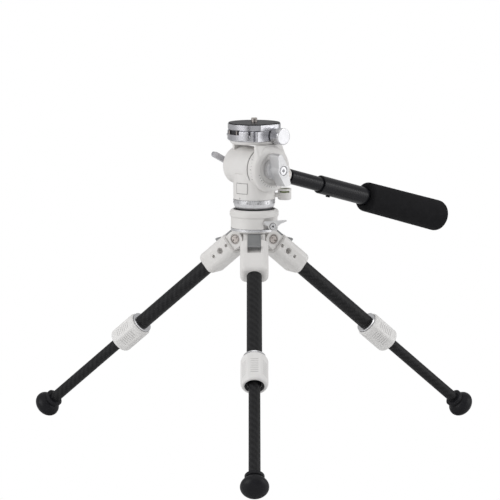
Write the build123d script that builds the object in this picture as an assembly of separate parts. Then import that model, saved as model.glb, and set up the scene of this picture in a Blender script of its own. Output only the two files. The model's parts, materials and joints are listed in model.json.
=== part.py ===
from build123d import *
import os
from math import acos, cos, degrees, radians, sin, sqrt

# Table tripod with a fluid head, three two-section legs and a sliding pan handle.
# Millimetres. Origin on the floor under the tripod's axis, +Z up.
# The lens points along -Y, the handle leaves towards +Y, the wing knob is on the +X side.

# ---------------------------------------------------------------- legs
LEG_AZIMUTHS = {"a": -40.0, "b": 80.0, "c": 200.0}  # direction of each leg seen from above
LEG_ANGLE = 50.6                # leg axis from the vertical, in use
PIVOT_R = 17.2                  # hinge pin to the tripod's axis
FOOT_S = 326.8                  # centre of the foot's ball, along the leg from its pin
FOOT_AXIAL = 10.5               # half the ball's thickness along the leg
FOOT_RADIUS = 14.5
FORK_GAP = 14.4                 # between the shoulder's two ears
EAR_WIDTH = 23.0                # across both ears
EAR_RADIUS = 9.0
TONGUE_WIDTH = 13.6
TONGUE_RADIUS = 8.5
TONGUE_DROP = 2.5               # underside of the tongue below the pin, inside the fork
SHOULDER_WIDTH = 30.0
SHOULDER_THICK = 24.5
SHOULDER_START = 8.0
SHOULDER_END = 50.0
THREAD_R = 3.2                  # 1/4"-20 accessory hole
THREAD_DEPTH = 6.4              # to the bottom, countersink included
COUNTERSINK = 0.6
THREAD_S = 21.6
LOCATING_R = 1.85               # anti-twist holes beside each accessory hole
LOCATING_STEP = 10.0
LOCATING_DEPTH = 3.0
TAB_SLOT_END = 27.5             # room for the angle tab at the end of its pull
UPPER_R = 8.0                   # carbon tube, 16 mm
LOWER_R = 6.0                   # carbon tube, 12 mm
TUBE_WALL = 1.0
UPPER_START = 30.0
UPPER_END = 196.0
LOWER_START = 150.0
LOCK_RING_S = (161.3, 163.2)
LOCK_RING_R = 11.8
TWIST_S = (163.4, 199.6)
TWIST_R = 14.2
TWIST_MOUTH_R = 10.2            # wide mouth at its lower end
COLLAR_S = (313.0, 319.0)
COLLAR_R = 10.0
PIN_R = 3.0
PIN_HEAD_R = 5.3
RUNNING = 0.05                  # radial clearance of a shaft in its hole

# ---------------------------------------------------------------- hub and levelling base
HUB_R = 24.5
HUB_PLATE_Z = (229.6, 230.8)
TRIM_R = 25.0
TRIM_Z = (230.8, 233.4)
CUP_R = 24.9
CUP_BULGE_R = 26.2
CUP_TOP_Z = 253.4
BALL_Z = 254.0                  # centre of the levelling half ball
BALL_R = 17.0
LINER_R = (17.05, 18.45)
SEAT_R = 18.5
LEVER_AZIMUTH = -18.0           # direction in which the lever's screw points
LEVER_OFFSET = 10.2             # screw beside the line through the tripod's axis
LEVER_Z = 236.9

# ---------------------------------------------------------------- pan and tilt
PAN_RING_Z = (254.8, 264.1)
PAN_R = 22.3
HOUSING_Z = 264.4
TILT_Z = 298.0                  # tilt axis, along X
DRUM_R = 21.8
DRUM_X = (-14.5, 13.4)
SCALE_BAND_R = 21.0             # tilt scale beside the drum
SCALE_BAND_END = 23.6
SHAFT_R = 6.0
CARTRIDGE_R = 15.8
CARTRIDGE_X = (-11.0, 23.3)     # tilt cartridge inside the drum
ARM_RIGHT_X = (24.0, 30.5)
ARM_RIGHT_R = 24.5
ARM_RIGHT_NECK = (-20.4, 12.5)   # front and back of the right arm below the top plate
DIAL_R = 17.5
ARM_LEFT_X = (-30.0, -14.9)
ARM_LEFT_R = 20.0
ARM_LEFT_NECK = 10.5            # half width of the left arm below the top plate
ARM_LEFT_NECK_X = (-23.4, -20.4)
PLATE_Z = (323.5, 327.2)
PLATE_R = 25.8
BUBBLE_XY = (20.8, 24.8)
BUBBLE_R = 7.2
BUBBLE_Z = (263.0, 275.0)
WING_X = (31.0, 48.0)
WING_REACH = 17.6
WING_TURN = 14.0                # wing turned from upright, its top towards the front
WING_SINK_R = 5.2               # counterbore round the wing's screw
WING_SINK = 2.0
WING_SCREW_R = 4.3
DRAG_REACH = 29.0               # drag lever, hub to tip
DRAG_LIFT = 27.0                # drag lever above the horizontal, towards the front
PAN_LOCK_AZIMUTH = 165.0
PAN_LOCK_Z = 272.0
BADGE_HALF = (7.4, 5.8)
BADGE_Z = 276.8
BADGE_TURN = 13.0               # badge round the housing from the front
VIAL_R = 5.8

# ---------------------------------------------------------------- quick-release clamp
CLAMP_Z = (327.2, 338.3)
CLAMP_R = 28.6
CLAMP_FLOOR_Z = 331.7
CLAMP_RIGHT_X = 21.0
FRONT_WALL_Y = -22.7
DOVETAIL_HALF = 19.0            # 38 mm dovetail
DOVETAIL_NECK = 16.3
DOVETAIL_Z = (332.0, 333.6, 336.3, 338.6)  # foot, top of its edge, top of the bevel, plate
QR_R = 28.2                     # round camera plate
QR_FLAT_X = 25.4                # flat on its side beside the clamp knob
QR_HALF_Y = 22.3                # half length of its dovetail
QR_TOP_Z = 344.8
PAD_TOP_Z = 345.8
JAW_Y = (-17.4, 21.5)
JAW_X = 25.0
FIT = 0.12                      # sliding clearance of the dovetail
NOTCH_X = (-11.9, 7.5)          # window in the front wall
NOTCH_Z = 334.0
LOCK_PIN_X = (-10.4, 1.6)
LOCK_PIN_Y = -25.4
LOCK_PIN_R = 0.9
CLAMP_SCREW_Y = (-11.0, 11.0)
KNOB_YZ = (8.0, 332.8)
KNOB_X = (26.0, 39.0)
KNOB_R = 8.9
CAMERA_SCREW_R = 3.175          # 1/4"-20
CAMERA_SCREW_TOP = 350.8
CAMERA_NECK_R = 2.6             # captive screw's neck, inside the plate

# ---------------------------------------------------------------- handle
HANDLE_DROP = 15.6              # handle below the horizontal
HINGE_T = 38.0                  # handle hinge, along the handle from the tilt axis
HINGE_R = 7.5
PIN_SHANK_R = 2.5
LUG_X = (6.0, 10.0)
TONGUE_X = 5.7
TUBE_T = (50.0, 200.0)
TUBE_R = 8.0
SLEEVE_T = (96.0, 281.0)
SLEEVE_R = 10.0
GRIP_T = (165.0, 286.0)
GRIP_R = (16.4, 17.5)           # the grip swells towards its end
GRIP_ROUND = (4.5, 8.0)         # rounding of its two ends
BUTTON_T = 112.0
BUTTON_R = 2.4

PARTS = {}


def axis_point(distance):
    """Height and reach of a point on the handle's axis."""
    return distance * cos(radians(HANDLE_DROP)), TILT_Z - distance * sin(radians(HANDLE_DROP))


def pivot_height():
    """Hinge height that sets the feet exactly on the floor."""
    lean = radians(LEG_ANGLE)
    below = sqrt((FOOT_AXIAL * cos(lean)) ** 2 + (FOOT_RADIUS * sin(lean)) ** 2)
    return FOOT_S * cos(lean) + below


PIVOT_Z = pivot_height()


def leg_frame(azimuth):
    """Local X runs down the leg, Y along the hinge pin, Z out of its upper side."""
    a = radians(azimuth)
    lean = radians(LEG_ANGLE)
    origin = (PIVOT_R * cos(a), PIVOT_R * sin(a), PIVOT_Z)
    down = (cos(a) * sin(lean), sin(a) * sin(lean), -cos(lean))
    out = (cos(a) * cos(lean), sin(a) * cos(lean), sin(lean))
    return Plane(origin=origin, x_dir=down, z_dir=out).location


def handle_frame():
    """Local X runs out along the handle from the tilt axis, Z out of its upper side."""
    drop = radians(HANDLE_DROP)
    return Plane(origin=(0, 0, TILT_Z), x_dir=(0, cos(drop), -sin(drop)),
                 z_dir=(0, sin(drop), cos(drop))).location


def rod(radius, start, end, axis="z", at=(0, 0)):
    """Cylinder between two stations of one axis, at two coordinates of the others."""
    length = end - start
    body = Cylinder(radius, length, align=(Align.CENTER, Align.CENTER, Align.MIN))
    if axis == "x":
        return Location((start, at[0], at[1]), (0, 90, 0)) * body
    if axis == "y":
        return Location((at[0], start, at[1]), (-90, 0, 0)) * body
    return Pos(at[0], at[1], start) * body


def ring(outer, inner, start, end, axis="z", at=(0, 0)):
    return rod(outer, start, end, axis, at) - rod(inner, start - 1, end + 1, axis, at)


def block(x, y, z):
    """Box between pairs of limits."""
    low = (x[0], y[0], z[0])
    size = (x[1] - x[0], y[1] - y[0], z[1] - z[0])
    return Pos(*low) * Box(*size, align=(Align.MIN, Align.MIN, Align.MIN))


def spun(points, axis=Axis.Z, plane=Plane.XZ):
    """Solid of revolution from a polygon of (radius, station) points."""
    outline = Polyline(*points, close=True)
    return revolve(plane * make_face(outline), axis)


def plate_yz(points, x):
    """Polygon of (y, z) points, thick between two x stations."""
    face = make_face(Polyline(*points, close=True))
    return extrude(Plane(origin=(x[0], 0, 0), x_dir=(0, 1, 0), z_dir=(1, 0, 0)) * face, x[1] - x[0])


def plate_xz(points, y):
    """Polygon of (x, z) points, thick between two y stations."""
    face = make_face(Polyline(*points, close=True))
    return extrude(Plane(origin=(0, y[1], 0), x_dir=(1, 0, 0), z_dir=(0, -1, 0)) * face, y[1] - y[0])


def keep(name, shape):
    PARTS[name] = shape


# ---------------------------------------------------------------- legs


def shoulder():
    """Cast shoulder: a fork round the hub's tongue, then a socket for the upper tube."""
    half = SHOULDER_WIDTH / 2
    section = Plane(origin=(SHOULDER_START, 0, 0), x_dir=(0, 1, 0), z_dir=(1, 0, 0))
    outline = section * RectangleRounded(SHOULDER_WIDTH, SHOULDER_THICK, 7.0)
    body = extrude(outline, SHOULDER_END - SHOULDER_START)
    body = fillet(body.faces().sort_by(Axis.X)[-1].edges(), 5.0)
    body = chamfer(body.faces().sort_by(Axis.X)[0].edges(), 1.5)
    ears = rod(EAR_RADIUS, -EAR_WIDTH / 2, EAR_WIDTH / 2, "y")
    ears += block((0, SHOULDER_START + 4), (-EAR_WIDTH / 2, EAR_WIDTH / 2), (-EAR_RADIUS, EAR_RADIUS))
    body += ears
    slot = FORK_GAP / 2
    body -= rod(EAR_RADIUS + 1.0, -slot, slot, "y")
    body -= block((-12, 4), (-slot, slot), (-14, 14))
    body -= block((-4, TAB_SLOT_END), (-slot, slot), (9.0, 14))
    body -= rod(PIN_R + RUNNING, -half, half, "y")
    head = PIN_HEAD_R + 0.3
    for side in (-1, 1):
        reach = sorted((side * 9.5, side * 14))
        body -= rod(head, reach[0], reach[1], "y")
        mouth = sorted((side * (half - THREAD_DEPTH), side * (half + 1)))
        body -= rod(THREAD_R, mouth[0], mouth[1], "y", (THREAD_S, 0))
        sink = Cone(THREAD_R, THREAD_R + COUNTERSINK, COUNTERSINK, align=(Align.CENTER, Align.CENTER, Align.MIN))
        body -= Location((THREAD_S, side * (half - COUNTERSINK), 0), (-90 * side, 0, 0)) * sink
        shallow = sorted((side * (half - LOCATING_DEPTH), side * (half + 1)))
        for step in (-LOCATING_STEP, LOCATING_STEP):
            body -= rod(LOCATING_R, shallow[0], shallow[1], "y", (THREAD_S + step, 0))
    body -= rod(UPPER_R, UPPER_START, SHOULDER_END + 1, "x")
    return body


def angle_tab():
    """Sprung slide that drops into the hub and sets the leg's angle, its tip bent up."""
    half = FORK_GAP / 2 - 0.2
    outline = ((1.0, 9.4), (18.5, 9.4), (22.6, 12.6), (22.6, 15.6), (20.6, 15.6),
               (17.2, 12.2), (1.0, 11.9))
    return plate_xz(outline, (-half, half))


def twist_lock():
    """Grip of the leg's clamp: two ribbed bands between smooth lips."""
    low, high = TWIST_S
    lip = 0.9
    grip = TWIST_R - 0.6
    outline = ((UPPER_R + RUNNING, low), (TWIST_R - 2.0, low), (TWIST_R - lip, low + 1.2),
               (TWIST_R, low + 3.5), (TWIST_R, low + 7.0), (grip, low + 8.0),
               (grip, high - 12.0), (TWIST_R, high - 11.0), (TWIST_R, high - 5.5),
               (TWIST_R - lip, high - 1.6), (TWIST_R - 2.6, high), (TWIST_MOUTH_R, high),
               (TWIST_MOUTH_R, UPPER_END + 0.5), (UPPER_R + RUNNING, UPPER_END + 0.5))
    return turned(outline)


def turned(points):
    """Revolve (radius, station) points about the leg's local X axis."""
    outline = Polyline(*[(station, radius) for radius, station in points], close=True)
    return revolve(make_face(outline), Axis.X)


def foot():
    """Rubber foot: a collar round the tube, a groove and a flattened ball."""
    half = Pos(FOOT_S, 0) * Ellipse(FOOT_AXIAL, FOOT_RADIUS) & Pos(FOOT_S, 25) * Rectangle(50, 50)
    body = revolve(half, Axis.X)
    body += turned(((0, COLLAR_S[0]), (COLLAR_R - 0.6, COLLAR_S[0]), (COLLAR_R, COLLAR_S[0] + 0.6),
                    (COLLAR_R, COLLAR_S[1] - 2.2), (COLLAR_R - 1.2, COLLAR_S[1] - 1.4),
                    (COLLAR_R - 1.2, COLLAR_S[1] + 1.0), (0, COLLAR_S[1] + 1.0)))
    return body - rod(LOWER_R, COLLAR_S[0] - 1, COLLAR_S[1] + 1, "x")


def hinge_pin():
    """Hinge bolt of one leg, with a two-hole head at each end."""
    half = EAR_WIDTH / 2 - 0.1
    pin = rod(PIN_R, -half, half, "y")
    for side in (-1, 1):
        reach = sorted((side * 9.55, side * half))
        pin += rod(PIN_HEAD_R, reach[0], reach[1], "y")
        sink = sorted((side * (half - 1.2), side * (half + 1)))
        for step in (-2.5, 2.5):
            pin -= rod(0.95, sink[0], sink[1], "y", (step, 0))
    return pin


def build_legs():
    pieces = {
        "shoulder": shoulder(),
        "angle_tab": angle_tab(),
        "upper_tube": ring(UPPER_R, UPPER_R - TUBE_WALL, UPPER_START, UPPER_END, "x"),
        "lock_ring": ring(LOCK_RING_R, UPPER_R, *LOCK_RING_S, "x"),
        "twist_lock": twist_lock(),
        "lower_tube": ring(LOWER_R, LOWER_R - TUBE_WALL, LOWER_START, COLLAR_S[1] + 1, "x"),
        "foot": foot(),
    }
    pin = hinge_pin()
    pins = []
    for letter, azimuth in LEG_AZIMUTHS.items():
        place = leg_frame(azimuth)
        for name, shape in pieces.items():
            keep(f"{name}_{letter}", place * shape)
        pins += (place * pin).solids()
    keep("hinge_pins", Compound(pins))


# ---------------------------------------------------------------- hub and levelling base


def spider():
    """Cast hub with a tongue for each leg's fork."""
    low = PIVOT_Z - TONGUE_DROP
    half = TONGUE_WIDTH / 2
    body = rod(HUB_R, *HUB_PLATE_Z) + rod(5.5, 206.5, HUB_PLATE_Z[0])
    for azimuth in LEG_AZIMUTHS.values():
        tongue = rod(TONGUE_RADIUS, -half, half, "y", (PIVOT_R, PIVOT_Z))
        tongue += block((0, PIVOT_R), (-half, half), (low, HUB_PLATE_Z[0]))
        tongue -= rod(PIN_R, -half - 1, half + 1, "y", (PIVOT_R, PIVOT_Z))
        body += Rot(0, 0, azimuth) * tongue
    return body - rod(2.5, 200, 240)


def lever_place(shape):
    """Move a shape from X along the lever's screw to its place on the cup."""
    return Rot(0, 0, LEVER_AZIMUTH) * Pos(0, LEVER_OFFSET, LEVER_Z) * shape


def level_cup():
    """Round cup with a spherical seat and a flat milled for the lever."""
    outline = ((0, TRIM_Z[1]), (CUP_R, TRIM_Z[1]), (CUP_R, 244.6), (CUP_BULGE_R, 246.6),
               (CUP_BULGE_R, 250.6), (25.0, 252.4), (23.0, CUP_TOP_Z), (22.0, CUP_TOP_Z - 0.4),
               (22.0, 249.8), (0, 249.8))
    body = spun(outline)
    seat = Pos(0, 0, BALL_Z) * Sphere(SEAT_R) & block((-20, 20), (-20, 20), (236.4, 250.5))
    body -= seat
    flat = block((21.5, 30), (-9.5, 12), (-6.0, 8.6))
    flat = fillet(flat.edges().filter_by(Axis.X), 2.2) & block((20, 30), (-12, 14), (-3.6, 10))
    body -= lever_place(flat)
    body -= lever_place(rod(2.0 + RUNNING, 14, 30, "x"))
    return body - rod(2.5, 230, 240)


def level_liner():
    """Nylon collar that the half ball turns in."""
    band = block((-20, 20), (-20, 20), (240.0, 247.5))
    shell = Pos(0, 0, BALL_Z) * (Sphere(LINER_R[1]) - Sphere(LINER_R[0]))
    return shell & band


def level_ball():
    """Half ball with the flange that carries the head."""
    half = Pos(0, 0, BALL_Z) * Sphere(BALL_R) & block((-20, 20), (-20, 20), (239.0, 253.4))
    return half + rod(20.3, 253.2, PAN_RING_Z[0])


def level_lever():
    """Lever that tightens the cup: a hub on its screw and a flat blade."""
    hub = rod(3.2, 21.7, 24.7, "x") + rod(4.6, 24.6, 27.4, "x")
    outline = ((-10.5, 3.2), (-9.0, 5.9), (16.2, 5.9), (16.2, 4.8), (9.0, 2.2), (4.2, -1.6),
               (0.0, -3.5), (-4.0, -0.5))
    blade = plate_yz(outline, (25.5, 27.2))
    return lever_place(hub + blade - rod(2.0, 20, 30, "x") - rod(3.4, 26.4, 30, "x"))


def lever_screw():
    head = rod(3.4, 26.4, 28.1, "x") + rod(2.0, 15, 26.5, "x")
    return lever_place(head - rod(1.1, 27.1, 30, "x"))


def centre_bolt():
    bolt = rod(4.4, 203.3, 206.5) + rod(2.5, 206.4, 236.3)
    socket = extrude(Pos(0, 0, 203.3) * RegularPolygon(2.2, 6), 1.8)
    return bolt - socket


def build_base():
    keep("spider", spider())
    keep("trim_ring", ring(TRIM_R, 9.0, *TRIM_Z))
    keep("level_cup", level_cup())
    keep("level_liner", level_liner())
    keep("level_ball", level_ball())
    keep("level_lever", level_lever())
    keep("lever_screw", lever_screw())
    keep("centre_bolt", centre_bolt())


# ---------------------------------------------------------------- pan


def pan_scale_ring():
    low, high = PAN_RING_Z
    return spun(((12, low), (20.4, low), (21.3, low + 1.8), (22.1, low + 4.6), (PAN_R, low + 4.9),
                 (PAN_R, high), (12, high)))


def pan_shaft():
    """Steel spindle with the flange that holds the pan cartridge down."""
    return rod(SHAFT_R, PAN_RING_Z[0], 276.0) + rod(9.0, 273.4, 276.0)


def pan_housing():
    """Cast body: a round foot for the pan and a drum across it for the tilt."""
    body = rod(PAN_R, HOUSING_Z, TILT_Z - 6)
    body += rod(DRUM_R, *DRUM_X, "x", (0, TILT_Z))
    body += rod(SCALE_BAND_R, DRUM_X[1], SCALE_BAND_END, "x", (0, TILT_Z))
    body += rod(5.6, 20.0, 25.4, "x", (0, PAN_LOCK_Z)).rotate(Axis.Z, PAN_LOCK_AZIMUTH)
    away = Vector(*BUBBLE_XY).normalized()
    body += bar(tuple(away * 18)[:2], BUBBLE_XY, 4.0, (HOUSING_Z + 1.6, BUBBLE_Z[0] + 7))
    body -= rod(BUBBLE_R, 250, 290, "z", BUBBLE_XY)
    body -= rod(17.0, HOUSING_Z - 1, 273.2)
    body -= rod(10.0, 273.0, 277.0)
    body -= rod(CARTRIDGE_R, CARTRIDGE_X[0], 30, "x", (0, TILT_Z))
    body -= rod(SHAFT_R + RUNNING, -30, 0, "x", (0, TILT_Z))
    body -= rod(ARM_RIGHT_R + 0.4, SCALE_BAND_END, 30, "x", (0, TILT_Z))
    body -= rod(ARM_LEFT_R + 0.4, -30, DRUM_X[0], "x", (0, TILT_Z))
    body -= block((-30, DRUM_X[0]), (-30, 30), (TILT_Z - 12.4, TILT_Z))
    body -= badge_block(0)
    return body - rod(2.5 + RUNNING, 16, 30, "x", (0, PAN_LOCK_Z)).rotate(Axis.Z, PAN_LOCK_AZIMUTH)


def bar(start, end, half, z):
    """Upright-sided bar between two points seen from above."""
    run = Vector(end[0] - start[0], end[1] - start[1])
    turn = degrees(acos(run.X / run.length)) * (1 if run.Y >= 0 else -1)
    return Pos(start[0], start[1]) * Rot(0, 0, turn) * block((0, run.length), (-half, half), z)


def badge_block(grow):
    """Blank badge on the front of the housing, curved with it."""
    x, z = BADGE_HALF
    window = block((-x, x), (-PAN_R - 2, -PAN_R + 4), (BADGE_Z - z, BADGE_Z + z))
    badge = window & ring(PAN_R + grow, PAN_R - 0.8, HOUSING_Z, 290)
    return badge.rotate(Axis.Z, BADGE_TURN)


def bubble_cup():
    """Round holder of the spirit level, with a window that shows the vial's side."""
    cup = rod(BUBBLE_R, *BUBBLE_Z, "z", BUBBLE_XY)
    cup -= rod(VIAL_R, BUBBLE_Z[0] + 5, BUBBLE_Z[1] + 1, "z", BUBBLE_XY)
    cup = chamfer(cup.faces().sort_by(Axis.Z)[0].edges(), 1.2)
    return cup - bubble_window(BUBBLE_R + 1)


def bubble_window(reach):
    """Slot in the holder's wall, facing front and right."""
    slot = block((0, reach), (-5.0, 5.0), (BUBBLE_Z[1] - 4.0, BUBBLE_Z[1] - 2.3))
    return Pos(*BUBBLE_XY) * Rot(0, 0, -40) * slot


def bubble_vial():
    vial = rod(VIAL_R, BUBBLE_Z[0] + 5, BUBBLE_Z[1] - 0.8, "z", BUBBLE_XY)
    dome = Pos(BUBBLE_XY[0], BUBBLE_XY[1], BUBBLE_Z[1] - 20.2) * Sphere(20.2)
    return vial & dome


def pan_lock_knob():
    """Knob behind the housing whose screw presses on the pan spindle's cartridge."""
    knob = rod(6.2, 25.8, 33.5, "x", (0, PAN_LOCK_Z))
    knob = chamfer(knob.edges(), 0.8)
    for turn in range(0, 360, 45):
        groove = rod(1.1, 25, 40, "x", (0, 0))
        flute = Rot(turn, 0, 0) * Pos(0, 6.6, 0) * groove
        knob -= Pos(0, 0, PAN_LOCK_Z) * flute
    knob += rod(2.5, 17.5, 26.0, "x", (0, PAN_LOCK_Z))
    return knob.rotate(Axis.Z, PAN_LOCK_AZIMUTH)


def build_pan():
    keep("pan_scale_ring", pan_scale_ring())
    keep("pan_shaft", pan_shaft())
    keep("pan_cartridge", ring(17.0, SHAFT_R + RUNNING, HOUSING_Z + 1, 273.2))
    keep("tilt_cartridge", ring(CARTRIDGE_R, SHAFT_R + RUNNING, *CARTRIDGE_X, "x", (0, TILT_Z)))
    keep("pan_housing", pan_housing())
    keep("badge", badge_block(0.5))
    keep("bubble_cup", bubble_cup())
    keep("bubble_vial", bubble_vial())
    keep("pan_lock_knob", pan_lock_knob())


# ---------------------------------------------------------------- tilt


def cradle():
    """Top plate with an arm down each side of the drum and a forked lug behind."""
    low, high = PLATE_Z
    body = rod(PLATE_R, low, high)
    body = chamfer(body.faces().sort_by(Axis.Z)[0].edges(), 1.6)
    right = rod(ARM_RIGHT_R, *ARM_RIGHT_X, "x", (0, TILT_Z))
    right = fillet(right.faces().sort_by(Axis.X)[-1].edges(), 3.4)
    right += right_neck(low + 0.1)
    gusset = block((19.5, 25.0), ARM_RIGHT_NECK, (TILT_Z + DRUM_R + 0.5, low + 0.6))
    right += gusset & rod(24.0, low - 9, high)
    left = rod(ARM_LEFT_R, *ARM_LEFT_X, "x", (0, TILT_Z))
    left = fillet(left.faces().sort_by(Axis.X)[0].edges(), 3.0)
    neck = ARM_LEFT_NECK
    left += block(ARM_LEFT_NECK_X, (-neck, neck), (TILT_Z + 8, low + 0.6))
    body += right + left
    body += block((-20, 22.0), (-9, 9), (low - 0.2, low + 1))
    cone = Cone(DIAL_R, DIAL_R - 3.0, 2.6, align=(Align.CENTER, Align.CENTER, Align.MIN))
    body -= Location((ARM_RIGHT_X[1] + 0.05, 0, TILT_Z), (0, -90, 0)) * cone
    body -= rod(SHAFT_R, -40, 40, "x", (0, TILT_Z))
    hinge_y, hinge_z = axis_point(HINGE_T)
    for side in (-1, 1):
        reach = sorted((side * LUG_X[0], side * LUG_X[1]))
        lug = rod(HINGE_R, *reach, "x", (hinge_y, hinge_z))
        lug += plate_yz(((hinge_y - HINGE_R, hinge_z), (hinge_y - 6, hinge_z - 2),
                         (hinge_y + 6, hinge_z - 2), (hinge_y + HINGE_R, hinge_z),
                         (31.5, 318), (26.0, high), (18, high), (21, low), (25, 316)), reach)
        body += lug
    body += plate_yz(((24.9, 312), (33.6, 312), (31.5, 318), (26.0, high), (18, high), (21, low)),
                     (-LUG_X[0], LUG_X[0]))
    body -= rod(PIN_SHANK_R, -20, 20, "x", (hinge_y, hinge_z))
    for y in CLAMP_SCREW_Y:
        body -= rod(2.0, low - 1, high + 1, "z", (0, y))
    return body


def right_neck(top):
    """Web from the right arm's disc up to the top plate, leaning in as it rises."""
    front, back = ARM_RIGHT_NECK
    foot = TILT_Z + 1
    web = plate_yz(((front, foot), (-front, foot), (-front, TILT_Z + 12), (back, top), (front, top)),
                   (ARM_RIGHT_X[0], ARM_RIGHT_X[1] - 0.1))
    start, end = ARM_RIGHT_X
    slope = plate_xz(((start, foot), (end, foot), (end, TILT_Z + 15), (26.4, top), (start, top)),
                     (-30, 30))
    web = web & slope
    outer = [edge for edge in web.edges() if edge.center().X > 27 and edge.center().Z < top - 1]
    return fillet(outer, 2.6)


def left_cap():
    """Domed cover over the left end of the tilt shaft."""
    dome = Pos(-12.0, 0, TILT_Z) * Sphere(25.0) & rod(18.2, -34.6, ARM_LEFT_X[0], "x", (0, TILT_Z))
    return dome - rod(3.0 + RUNNING, -40, -20, "x", (0, TILT_Z))


def drag_lever():
    """Tilt drag lever on the left side: a hub and a straight bar with a knob end."""
    hub = chamfer(rod(6.4, -41.0, -35.0, "x", (0, TILT_Z)).edges(), 0.8)
    bar_part = block((-40.2, -36.0), (-DRAG_REACH, 0), (-3.0, 3.0))
    bar_part = fillet(bar_part.edges().filter_by(Axis.X).sort_by(Axis.Y)[:2], 2.9)
    bar_part -= block((-41, -39.4), (-DRAG_REACH + 8.4, -DRAG_REACH + 9.6), (-4, 4))
    lift = Pos(0, 0, TILT_Z) * Rot(-DRAG_LIFT, 0, 0)
    return hub + lift * bar_part + rod(3.0, -35.2, -28.1, "x", (0, TILT_Z))


def wing_knob():
    """Tilt drag knob: a waisted hub with one wing up and one down."""
    start, end = WING_X
    tip = WING_REACH
    blade_face = make_face(Polyline((-3.2, tip), (2.2, tip), (6.8, 2.0), (6.0, -tip),
                                    (-1.6, -tip), (-6.8, -2.0), close=True))
    blade = extrude(Plane(origin=(start + 2.5, 0, TILT_Z), x_dir=(0, 1, 0), z_dir=(1, 0, 0))
                    * blade_face, end - start - 2.5)
    blade = fillet(blade.edges().filter_by(Axis.X), 1.6)
    blade = blade.rotate(Axis((0, 0, TILT_Z), (1, 0, 0)), WING_TURN)
    hub = rod(10.5, 28.3, start + 3.5, "x", (0, TILT_Z))
    knob = hub + blade + rod(7.2, start, end, "x", (0, TILT_Z))
    knob -= rod(WING_SINK_R, end - WING_SINK, end + 1, "x", (0, TILT_Z))
    return knob - rod(3.0, 20, end, "x", (0, TILT_Z))


def wing_screw():
    end = WING_X[1]
    screw = rod(WING_SCREW_R, end - WING_SINK, end - 0.1, "x", (0, TILT_Z))
    screw += rod(3.0, 28.3, end - WING_SINK, "x", (0, TILT_Z))
    socket = Plane(origin=(end - 2.2, 0, TILT_Z), z_dir=(1, 0, 0)) * RegularPolygon(1.9, 6)
    return screw - extrude(socket, 3)


def tilt_shaft():
    shaft = rod(SHAFT_R, ARM_LEFT_X[0], 28.0, "x", (0, TILT_Z))
    return shaft - rod(3.0 + RUNNING, ARM_LEFT_X[0] - 1, -23, "x", (0, TILT_Z))


def build_tilt():
    hinge_y, hinge_z = axis_point(HINGE_T)
    keep("cradle", cradle())
    keep("tilt_shaft", tilt_shaft())
    keep("left_cap", left_cap())
    keep("drag_lever", drag_lever())
    keep("wing_knob", wing_knob())
    keep("wing_screw", wing_screw())
    pin = rod(PIN_SHANK_R, -11.0, 11.0, "x", (hinge_y, hinge_z))
    for side in (-1, 1):
        reach = sorted((side * LUG_X[1], side * 12.0))
        pin += rod(4.4, *reach, "x", (hinge_y, hinge_z))
    keep("handle_pin", pin)


# ---------------------------------------------------------------- quick-release clamp


def dovetail(grow, y):
    """Trapezoid bar under the camera plate, larger all round by a clearance."""
    foot_z, edge_z, neck_z, top_z = DOVETAIL_Z
    half, neck = DOVETAIL_HALF + grow, DOVETAIL_NECK + grow
    points = [(-half, foot_z - grow), (half, foot_z - grow), (half, edge_z), (neck, neck_z),
              (neck, top_z), (-neck, top_z), (-neck, neck_z), (-half, edge_z)]
    return plate_xz(points, y)


def clamp_body():
    """Round clamp base with a fixed dovetail rail on the left and a stop wall in front."""
    low, high = CLAMP_Z
    body = rod(CLAMP_R, low, high)
    body = chamfer(body.faces().sort_by(Axis.Z)[-1].edges(), 0.8)
    body = chamfer(body.faces().sort_by(Axis.Z)[0].edges(), 1.2)
    body -= block((CLAMP_RIGHT_X, 40), (-40, 40), (low - 1, high + 1))
    body -= dovetail(FIT, (FRONT_WALL_Y, 40))
    body -= block((0, 40), (FRONT_WALL_Y, 40), (CLAMP_FLOOR_Z, high + 1)) & block(
        (0, DOVETAIL_HALF + FIT), (-40, 40), (0, 400))
    body -= block((0, 40), (JAW_Y[0] - 0.3, 40), (CLAMP_FLOOR_Z, high + 1))
    body -= block(NOTCH_X, (-40, FRONT_WALL_Y + 1), (NOTCH_Z, high + 1))
    for y in CLAMP_SCREW_Y:
        body -= rod(2.0, low - 1, high, "z", (0, y))
        body -= rod(3.6, CLAMP_FLOOR_Z - 2.6, high, "z", (0, y))
    for x in LOCK_PIN_X:
        body -= rod(LOCK_PIN_R, NOTCH_Z - 2, high, "z", (x, LOCK_PIN_Y))
    return body


def clamp_jaw():
    """Moving jaw: hooks over the dovetail's right edge, its skirt hangs beside the base."""
    low, high = CLAMP_Z
    body = block((12, JAW_X), JAW_Y, (CLAMP_FLOOR_Z + 0.2, high - 0.1))
    body += block((CLAMP_RIGHT_X + 0.3, JAW_X), JAW_Y, (low + 0.3, high - 0.1))
    body = fillet(body.edges().filter_by(Axis.Z).sort_by(Axis.X)[-2:], 1.5)
    body -= dovetail(FIT, (-40, 40))
    return body - rod(2.5 + RUNNING, 10, 40, "x", KNOB_YZ)


def clamp_knob():
    """Knurled knob with a domed polished end."""
    start, end = KNOB_X
    knob = rod(KNOB_R, start, end, "x", KNOB_YZ)
    knob = fillet(knob.faces().sort_by(Axis.X)[-1].edges(), 1.2)
    knob = chamfer(knob.faces().sort_by(Axis.X)[0].edges(), 0.6)
    return knob + rod(2.5, CLAMP_RIGHT_X + 0.4, start + 0.5, "x", KNOB_YZ)


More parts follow.
